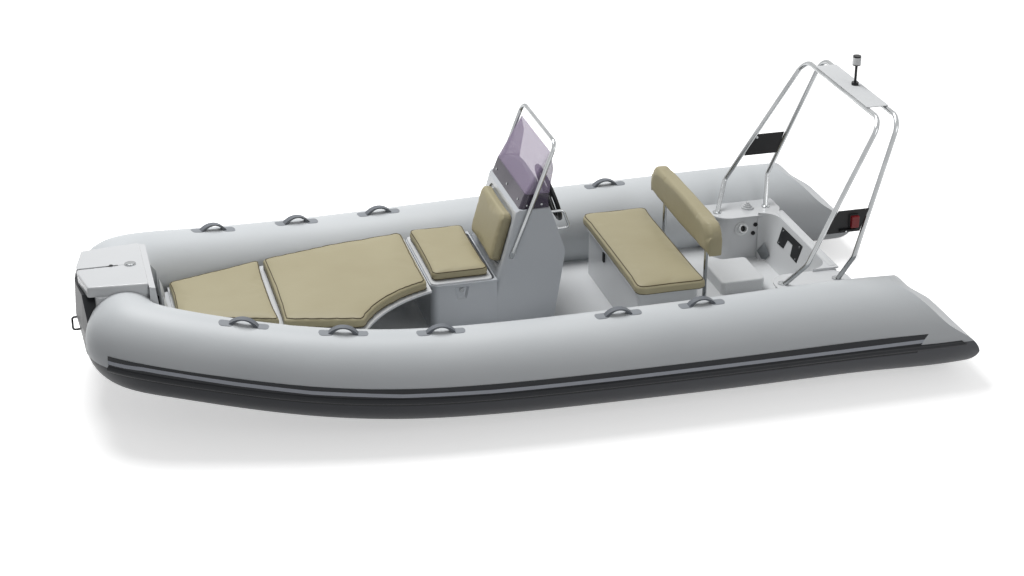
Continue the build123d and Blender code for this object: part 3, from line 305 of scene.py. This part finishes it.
NODE_MATERIALS = {
    "hull": HULL, "collar_port": FABRIC, "collar_starboard": FABRIC, "stern_caps": FABRIC,
    "rub_strakes": STRAKE, "tube_handles": STRAP, "floor_deck": NONSKID,
    "stern_moulding": GELCOAT, "transom_board": GELCOAT, "stern_step": NONSKID,
    "vent_stack": GELCOAT, "hose_port": WHITE, "bow_step": GELCOAT, "bow_cleat": STEEL,
    "bow_roller": BLACK, "bow_eye": DARK_RUBBER, "bow_locker": GELCOAT, "sundeck_board": GELCOAT,
    "seat_base": CONSOLE, "seat_lock": STEEL, "console": CONSOLE, "windshield": ACRYLIC,
    "helm_hub": BLACK, "console_rail": STEEL, "console_grab": STEEL, "bench_base": GELCOAT,
    "bench_latch": BLACK, "backrest_posts": STEEL, "arch_forward": STEEL, "arch_aft": STEEL,
    "arch_top_plate": NONSKID, "mast_light": BLACK, "arch_side_plates": BLACK,
    "nav_light_port": RED, "nav_light_starboard": GREEN, "transom_plates": BLACK,
    "steering_wheel": BLACK, "seat_lid": GELCOAT, "bench_lid": GELCOAT,
    "bow_cushion_front": VINYL, "bow_cushion_large": VINYL, "console_cushion": VINYL,
    "backrest_cushion": VINYL, "seat_cushion": VINYL, "bench_cushion": VINYL,
}
for name, material in NODE_MATERIALS.items():
    mesh = nodes[name].data
    mesh.materials.clear()
    mesh.materials.append(material)
    for polygon in mesh.polygons:
        polygon.material_index = 0


# ---- geometry helpers -----------------------------------------------------------------------
def link(name, mesh, material):
    """An object from a mesh, riding on the boat."""
    thing = bpy.data.objects.new(name, mesh)
    bpy.context.scene.collection.objects.link(thing)
    mesh.materials.clear()
    mesh.materials.append(material)
    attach(thing, "boat")
    return thing


def smooth(mesh):
    """Smooth shading but for the sharp edges."""
    for polygon in mesh.polygons:
        polygon.use_smooth = True
    shape = bmesh.new()
    shape.from_mesh(mesh)
    for edge in shape.edges:
        edge.smooth = not edge.is_manifold or edge.calc_face_angle(0) < SHARP_ANGLE
    shape.to_mesh(mesh)
    shape.free()


def turned(direction):
    """Rotation that takes +Z to the direction."""
    return Vector((0, 0, 1)).rotation_difference(Vector(direction)).to_matrix().to_4x4()


def finished(name, shape, material):
    """An object from an edited mesh, smooth, riding on the boat."""
    mesh = bpy.data.meshes.new(name)
    shape.to_mesh(mesh)
    shape.free()
    smooth(mesh)
    link(name, mesh, material)


def disc(name, place, direction, radius, depth, material, sides=32):
    """A flat cylinder with a rounded outer edge, standing on its place."""
    shape = bmesh.new()
    bmesh.ops.create_cone(
        shape, cap_ends=True, segments=sides, radius1=radius, radius2=radius, depth=depth,
        matrix=Matrix.Translation((0, 0, depth / 2)),
    )
    rim = [
        item for item in shape.edges
        if all(abs(vertex.co.z - depth) < 1e-6 for vertex in item.verts)
    ]
    bmesh.ops.bevel(
        shape, geom=rim, offset=min(radius, depth) / 4, segments=2, affect="EDGES", profile=0.5)
    shape.transform(Matrix.Translation(place) @ turned(direction))
    finished(name, shape, material)


def slab(name, centre, half_side, half_end, direction, depth, material, edge=0.002):
    """A plate round its centre, from two half sides, raised along the direction, edges bevelled."""
    shape = bmesh.new()
    centre, half_side, half_end = Vector(centre), Vector(half_side), Vector(half_end)
    corners = (
        centre - half_side - half_end, centre + half_side - half_end,
        centre + half_side + half_end, centre - half_side + half_end,
    )
    face = shape.faces.new([shape.verts.new(corner) for corner in corners])
    raised = bmesh.ops.extrude_face_region(shape, geom=[face])
    lift = Vector(direction).normalized() * depth
    for item in raised["geom"]:
        if isinstance(item, bmesh.types.BMVert):
            item.co += lift
    bmesh.ops.recalc_face_normals(shape, faces=shape.faces)
    bmesh.ops.bevel(shape, geom=shape.edges[:], offset=edge, segments=2, affect="EDGES", profile=0.5)
    finished(name, shape, material)


def patch(name, rows, depth, material):
    """A sheet through rows of points, thickened outwards."""
    mesh = bpy.data.meshes.new(name)
    across = len(rows[0])
    faces = [
        (r * across + c, r * across + c + 1, (r + 1) * across + c + 1, (r + 1) * across + c)
        for r in range(len(rows) - 1) for c in range(across - 1)
    ]
    mesh.from_pydata([tuple(point) for row in rows for point in row], [], faces)
    for polygon in mesh.polygons:
        polygon.use_smooth = True
    sheet = link(name, mesh, material)
    thick = sheet.modifiers.new("thickness", "SOLIDIFY")
    thick.thickness = depth
    thick.offset = 1


def ring(name, points, radius, material, body):
    """A round bead along a closed loop of points."""
    data = bpy.data.curves.new(name, "CURVE")
    data.dimensions = "3D"
    data.bevel_depth = radius
    data.bevel_resolution = 3
    spline = data.splines.new("POLY")
    spline.points.add(len(points) - 1)
    for point, place in zip(spline.points, points):
        point.co = (*place, 1)
    spline.use_cyclic_u = True
    bead = bpy.data.objects.new(name, data)
    bpy.context.scene.collection.objects.link(bead)
    data.materials.append(material)
    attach(bead, body)


def outline_at(mesh, height):
    """The longest loop in which a level plane cuts a closed mesh, in order."""
    shape = bmesh.new()
    shape.from_mesh(mesh)
    cut = bmesh.ops.bisect_plane(
        shape, geom=shape.verts[:] + shape.edges[:] + shape.faces[:], plane_co=(0, 0, height),
        plane_no=(0, 0, 1),
    )
    neighbours = {}
    for item in cut["geom_cut"]:
        if isinstance(item, bmesh.types.BMEdge):
            first, second = item.verts
            neighbours.setdefault(first, []).append(second)
            neighbours.setdefault(second, []).append(first)
    loops = []
    left = dict.fromkeys(neighbours)
    while left:
        steps = [next(iter(left))]
        loop = []
        while steps:
            here = steps[0]
            del left[here]
            loop.append(here.co.copy())
            steps = [vertex for vertex in neighbours[here] if vertex in left]
        loops.append(loop)
    shape.free()
    return max(loops, key=len)


# ---- cushions -------------------------------------------------------------------------------
COVER_INSET = 0.003         # the cover starts this far inside the CAD cushion, because it swells
REST_INSET = 0.0005         # and its flat side stays this far inside
BLOW_FRAMES = 20


def blown_up(pad):
    """Places of the cover's points after a cloth simulation under inner pressure."""
    cloth = pad.modifiers.new("cover", "CLOTH")
    settings = cloth.settings
    settings.quality = 3
    settings.mass = 0.3
    settings.tension_stiffness = 18
    settings.compression_stiffness = 18
    settings.shear_stiffness = 8
    settings.bending_stiffness = 2
    settings.use_pressure = True
    settings.uniform_pressure_force = 4
    settings.effector_weights.gravity = 0
    cloth.point_cache.frame_start = 1
    cloth.point_cache.frame_end = BLOW_FRAMES
    for number in range(1, BLOW_FRAMES + 1):
        bpy.context.scene.frame_set(number)
    graph = bpy.context.evaluated_depsgraph_get()
    blown = bpy.data.meshes.new_from_object(pad.evaluated_get(graph))
    places = [vertex.co.copy() for vertex in blown.vertices]
    pad.modifiers.clear()
    bpy.context.scene.frame_set(1)
    return places


def stuffed(name, body, voxel, give, rest_normal=(0, 0, -1)):
    """A stuffed pad for a CAD cushion, swollen by up to give and flat on the side it rests on."""
    source = nodes[name]
    shape = bmesh.new()
    shape.from_mesh(source.data)
    bmesh.ops.remove_doubles(shape, verts=shape.verts, dist=0.00005)
    mesh = bpy.data.meshes.new(name + "_pad")
    shape.to_mesh(mesh)
    shape.free()
    pad = bpy.data.objects.new(name + "_pad", mesh)
    bpy.context.scene.collection.objects.link(pad)
    remesh = pad.modifiers.new("voxels", "REMESH")
    remesh.mode = "VOXEL"
    remesh.voxel_size = voxel
    graph = bpy.context.evaluated_depsgraph_get()
    cover = bpy.data.meshes.new_from_object(pad.evaluated_get(graph))
    pad.modifiers.clear()
    pad.data = cover
    down = Vector(rest_normal).normalized()
    rest = max(vertex.co.dot(down) for vertex in source.data.vertices) - REST_INSET
    for vertex in cover.vertices:
        vertex.co -= vertex.normal * COVER_INSET
    for vertex, blown in zip(cover.vertices, blown_up(pad)):
        move = blown - vertex.co
        if move.length > give:
            move *= give / move.length
        place = vertex.co + move
        place -= down * max(0, place.dot(down) - rest)
        vertex.co = place
    subdivision = pad.modifiers.new("finer", "SUBSURF")
    subdivision.levels = subdivision.render_levels = 2
    for polygon in cover.polygons:
        polygon.use_smooth = True
    cover.materials.clear()
    cover.materials.append(VINYL)
    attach(pad, body)
    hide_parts(name)
    return pad


def welted(pad, body, drop):
    """Piping round the pad's top, a drop below its crown, and a hem round its foot."""
    top = max(vertex.co.z for vertex in pad.data.vertices)
    foot = min(vertex.co.z for vertex in pad.data.vertices)
    ring(pad.name + "_piping", outline_at(pad.data, top - drop), 0.003, PIPING, body)
    ring(pad.name + "_hem", outline_at(pad.data, foot + 0.008), 0.0025, PIPING, body)


large_pad = stuffed("bow_cushion_large", "boat", voxel=0.022, give=0.014)
front_pad = stuffed("bow_cushion_front", "boat", voxel=0.020, give=0.014)
seat_pad = stuffed("seat_cushion", "front_seat", voxel=0.016, give=0.012)
bench_pad = stuffed("bench_cushion", "bench_seat", voxel=0.018, give=0.013)
stuffed("backrest_cushion", "boat", voxel=0.016, give=0.012, rest_normal=(-1, 0, 0))
stuffed("console_cushion", "boat", voxel=0.014, give=0.010, rest_normal=(-0.964, 0, -0.266))
welted(large_pad, "boat", drop=0.016)
welted(front_pad, "boat", drop=0.016)
welted(seat_pad, "front_seat", drop=0.015)
welted(bench_pad, "bench_seat", drop=0.016)


# ---- pads under the handles -----------------------------------------------------------------
HANDLE_REACH = 0.22                             # more than a handle's length
PAD_FROM_MIDDLE, PAD_HALF_LENGTH, PAD_HALF_WIDTH = 0.098, 0.042, 0.036
PAD_THICKNESS, PAD_LIFT = 0.0025, 0.0008


def on_tube(name, place, ahead):
    """A rounded pad laid on a tube from above, its length along the way ahead."""
    collar = nodes["collar_port" if place.y > 0 else "collar_starboard"]
    forward = Vector((ahead.x, ahead.y, 0)).normalized()
    outward = Vector((-forward.y, forward.x, 0))
    rows = []
    for step in range(-10, 11):
        along = step / 10
        half_width = PAD_HALF_WIDTH * math.sqrt(1 - abs(along) ** 5)
        row = []
        for side in range(-5, 6):
            flat = place + forward * (along * PAD_HALF_LENGTH) + outward * (side / 5 * half_width)
            above = Vector((flat.x, flat.y, place.z + 0.3))
            _, spot, normal, _ = collar.ray_cast(above, Vector((0, 0, -1)))
            row.append(spot + normal * PAD_LIFT)
        rows.append(row)
    patch(name, rows, PAD_THICKNESS, PAD)


def mean(values):
    """The mean of some numbers."""
    values = list(values)
    return sum(values) / len(values)


handles = []
for vertex in nodes["tube_handles"].data.vertices:
    for points in handles:
        if (points[0] - vertex.co).length < HANDLE_REACH:
            points.append(vertex.co.copy())
            break
    else:
        handles.append([vertex.co.copy()])

for number, points in enumerate(handles):
    low = Vector([min(point[axis] for point in points) for axis in range(3)])
    high = Vector([max(point[axis] for point in points) for axis in range(3)])
    middle = (low + high) / 2
    fore = mean(point.y for point in points if point.x > middle.x)
    aft = mean(point.y for point in points if point.x <= middle.x)
    # The means lie about 0.6 of the handle's length apart
    ahead = Vector((high.x - low.x, (fore - aft) / 0.625, 0))
    for end in (-1, 1):
        spot = middle + ahead.normalized() * end * PAD_FROM_MIDDLE
        on_tube(f"handle_pad_{number}_{end + 1}", spot, ahead)


# ---- stern fittings -------------------------------------------------------------------------
SMALL_SCREW, SCREW, LARGE_SCREW = (0.0042, 0.002), (0.006, 0.003), (0.007, 0.003)   # radius, height

GRIP_CENTRE = (-1.9525, 0, 0.4952)                  # on top of the transom
POD_WALL_Y = -0.4537
HOSE_CENTRE = Vector((-1.703, POD_WALL_Y, 0.396))
HOSE_RISE = math.radians(24)
HOSE_REACH = 0.014
HOSE_SCREW_CIRCLE, HOSE_FLANGE = 0.0385, 0.0022
DRAINS = ((-1.800, 0.415), (-1.786, 0.356))         # X and Z on the pod's wall
WELL_CORNER, WELL_RADIUS = Vector((-1.7335, -0.325, 0)), 0.1275     # the well's round corner
DIAMOND_Z, DIAMOND_HALF_HEIGHT = 0.238, 0.073
DIAMOND_MIDDLE, DIAMOND_STEP = 209, 6               # degrees round the well's corner
TRANSOM_NORMAL = Vector((0.9755, 0, 0.2198))        # of its leaning forward face
CLAMP_PLATE_X, CLAMP_PLATE_Z = -1.8516, 0.18        # a place on the clamp plate's face
CLAMP_SCREWS = ((-0.245, 0.445), (0.020, 0.445), (-0.262, 0.358), (0.008, 0.358))   # Y and Z

slab("transom_grip", GRIP_CENTRE, (-0.0195, 0, 0), (0, 0.43, 0), (0, 0, 1), 0.0015, NONSKID,
     edge=0.0004)

spigot = Vector((0, math.cos(HOSE_RISE), math.sin(HOSE_RISE)))
disc("hose_bore", HOSE_CENTRE + spigot * HOSE_REACH, spigot, 0.0205, 0.002, BLACK)
for number in range(4):
    turn = math.radians(45 + 90 * number)
    around = Vector((math.cos(turn), 0, math.sin(turn))) * HOSE_SCREW_CIRCLE
    place = HOSE_CENTRE + around + Vector((0, HOSE_FLANGE, 0))
    disc(f"hose_screw_{number}", place, (0, 1, 0), *SMALL_SCREW, STEEL, sides=16)
for number, (x, z) in enumerate(DRAINS):
    disc(f"drain_{number}", (x, POD_WALL_Y - 0.0008, z), (0, 1, 0), 0.014, 0.008, BLACK)

rows = []
for step in range(-4, 5):
    turn = math.radians(DIAMOND_MIDDLE + DIAMOND_STEP * step)
    wall = WELL_CORNER + Vector((math.cos(turn), math.sin(turn), 0)) * WELL_RADIUS
    half = DIAMOND_HALF_HEIGHT * (1.02 - abs(step) / 4)
    rows.append([wall + Vector((0, 0, z)) for z in (DIAMOND_Z + half, DIAMOND_Z, DIAMOND_Z - half)])
patch("grey_diamond", rows, -0.003, DIAMOND)

for number, (y, z) in enumerate(CLAMP_SCREWS):
    x = CLAMP_PLATE_X - (z - CLAMP_PLATE_Z) * TRANSOM_NORMAL.z / TRANSOM_NORMAL.x
    disc(f"clamp_screw_{number}", (x, y, z), TRANSOM_NORMAL, *SCREW, STEEL, sides=20)


# ---- windshield screws ----------------------------------------------------------------------
SKIRT_NORMAL = (0.93, 0, 0.365)
SKIRT_X, SKIRT_SCREW_Z = -0.0595, 0.972
SKIRT_HALF_WIDTH, SIDE_SCREW_Z = 0.335, 0.958

for number, y in enumerate((-0.50, -0.25, 0.0)):
    place = (SKIRT_X, y, SKIRT_SCREW_Z)
    disc(f"screen_screw_{number}", place, SKIRT_NORMAL, *LARGE_SCREW, STEEL, sides=20)
for number, x in enumerate((-0.095, -0.185)):
    for side in (1, -1):
        place = (x, CONSOLE_Y + side * SKIRT_HALF_WIDTH, SIDE_SCREW_Z)
        disc(f"screen_side_{number}_{side + 1}", place, (0, side, 0), *LARGE_SCREW, STEEL, sides=20)


# ---- fittings of the light arch -------------------------------------------------------------
PLATE_Y = 0.6642                                    # outer face of the port side plate
LIGHT_BASE_X, LIGHT_BASE_Z = -1.960, 0.895
CLEAT_X, CLEAT_Z, CLEAT_DEPTH = -1.9225, 0.839, 0.022

slab("port_light_base", (LIGHT_BASE_X, PLATE_Y, LIGHT_BASE_Z), (0.030, 0, 0), (0, 0, 0.043),
     (0, 1, 0), 0.006, BLACK)
slab("port_cleat", (CLEAT_X, PLATE_Y, CLEAT_Z), (0.0525, 0, 0), (0, 0, 0.007), (0, 1, 0),
     CLEAT_DEPTH, BLACK, edge=0.004)
cleat_pin = (CLEAT_X + 0.0175, PLATE_Y + CLEAT_DEPTH - 0.0002, CLEAT_Z)
disc("port_cleat_pin", cleat_pin, (0, 1, 0), 0.006, 0.006, STEEL, sides=20)
disc("starboard_bolt", (-1.86, -0.6600, 0.945), (0, 1, 0), 0.009, 0.008, STEEL, sides=20)
disc("lamp_lens", (-2.216, 0, 1.634), (0, 0, 1), 0.0262, 0.048, WHITE)


# ---- dash: gauges beside the wheel's hub, and a switch panel ---------------------------------
DASH_KNEE = Vector((-0.335, CONSOLE_Y, 0.645))      # where the dash starts to lean
GAUGE_UP, GAUGE_SIDE = 0.245, 0.17                  # up the dash, and to either side
GAUGE_RADIUS, GLASS_RADIUS, GAUGE_DEPTH = 0.046, 0.040, 0.008
PANEL_UP, PANEL_LIFT = 0.085, 0.0005

up = Vector((math.sin(DASH_LEAN), 0, math.cos(DASH_LEAN)))
out = Vector((-math.cos(DASH_LEAN), 0, math.sin(DASH_LEAN)))
for number, y in enumerate((-GAUGE_SIDE, GAUGE_SIDE)):
    place = DASH_KNEE + up * GAUGE_UP + Vector((0, y, 0))
    disc(f"gauge_{number}", place, out, GAUGE_RADIUS, GAUGE_DEPTH, BLACK)
    disc(f"gauge_glass_{number}", place + out * GAUGE_DEPTH, out, GLASS_RADIUS, 0.002, DIAMOND)
slab("switch_panel", DASH_KNEE + up * PANEL_UP + out * PANEL_LIFT, (0, 0.12, 0), up * 0.03, out,
     0.006, BLACK)


# ---- camera, light and floor ----------------------------------------------------------------
CAMERA_PLACE = (2.801, 10.496, 5.556)
CAMERA_YAW = math.radians(15.065)           # from straight to starboard towards the stern
CAMERA_PITCH = math.radians(25.458)         # downwards
FOCAL_PX, FRAME_PX = 1956.1, 1024           # focal length and width of the frame, in pixels
SENSOR = 36
SHADE_STRENGTH = 0.34                       # of the world on the object
WHITE_STRENGTH = 1.0                        # of the world as a background

camera_data = bpy.data.cameras.new("camera")
camera_data.sensor_width = SENSOR
camera_data.lens = SENSOR * FOCAL_PX / FRAME_PX
camera_data.clip_end = 200
camera = bpy.data.objects.new("camera", camera_data)
bpy.context.scene.collection.objects.link(camera)
level = math.cos(CAMERA_PITCH)
look = Vector((
    -math.sin(CAMERA_YAW) * level, -math.cos(CAMERA_YAW) * level, -math.sin(CAMERA_PITCH)))
camera.location = CAMERA_PLACE
camera.rotation_euler = look.to_track_quat("-Z", "Y").to_euler()
bpy.context.scene.camera = camera
bpy.context.scene.view_settings.view_transform = "Standard"


def area_lamp(name, place, target, size, power):
    """A round soft lamp aimed at a target."""
    data = bpy.data.lights.new(name, "AREA")
    data.shape = "DISK"
    data.size = size
    data.energy = power
    lamp = bpy.data.objects.new(name, data)
    bpy.context.scene.collection.objects.link(lamp)
    lamp.location = place
    aim = Vector(target) - Vector(place)
    lamp.rotation_euler = aim.to_track_quat("-Z", "Y").to_euler()


def background_rays(tree):
    """1 for the rays that show the background: to the camera, off gloss and through glass."""
    rays = tree.nodes.new("ShaderNodeLightPath").outputs
    seen = math_node(tree, "MAXIMUM", rays["Is Camera Ray"], rays["Is Glossy Ray"])
    return math_node(tree, "MAXIMUM", seen, rays["Is Transmission Ray"])


def pale_world():
    """A world that is white as a background and soft on the object."""
    world = bpy.data.worlds.new("world")
    bpy.context.scene.world = world
    world.use_nodes = True
    tree = world.node_tree
    background = tree.nodes["Background"]
    background.inputs["Color"].default_value = (1, 1, 1, 1)
    strength = spread(tree, background_rays(tree), 0, 1, SHADE_STRENGTH, WHITE_STRENGTH)
    tree.links.new(strength, background.inputs["Strength"])


def floor_material():
    """White as a background, but a soft grey for the light that it throws on the object."""
    material, tree, shader = new_material("studio_floor", 0.9)
    seen = background_rays(tree)
    base = mix(tree, seen, (0.30, 0.30, 0.31, 1), (0.92, 0.92, 0.92, 1))
    tree.links.new(base, shader.inputs["Base Color"])
    shader.inputs["Emission Color"].default_value = (1, 1, 1, 1)
    tree.links.new(spread(tree, seen, 0, 1, 0.0, 0.50), shader.inputs["Emission Strength"])
    bump(tree, shader, noise(tree, place_of(tree), 2.0), strength=0.02, distance=0.01)
    return material


area_lamp("key", (1.5, -3.0, 8.0), (0, 0, 0.3), size=6, power=700)
area_lamp("fill", (-5, 8, 5), (0, 0, 0.4), size=5, power=130)
pale_world()

bpy.ops.mesh.primitive_plane_add(size=60, location=(0, 0, 0))
floor = bpy.context.object
floor.name = "studio_floor"
floor.data.materials.append(floor_material())
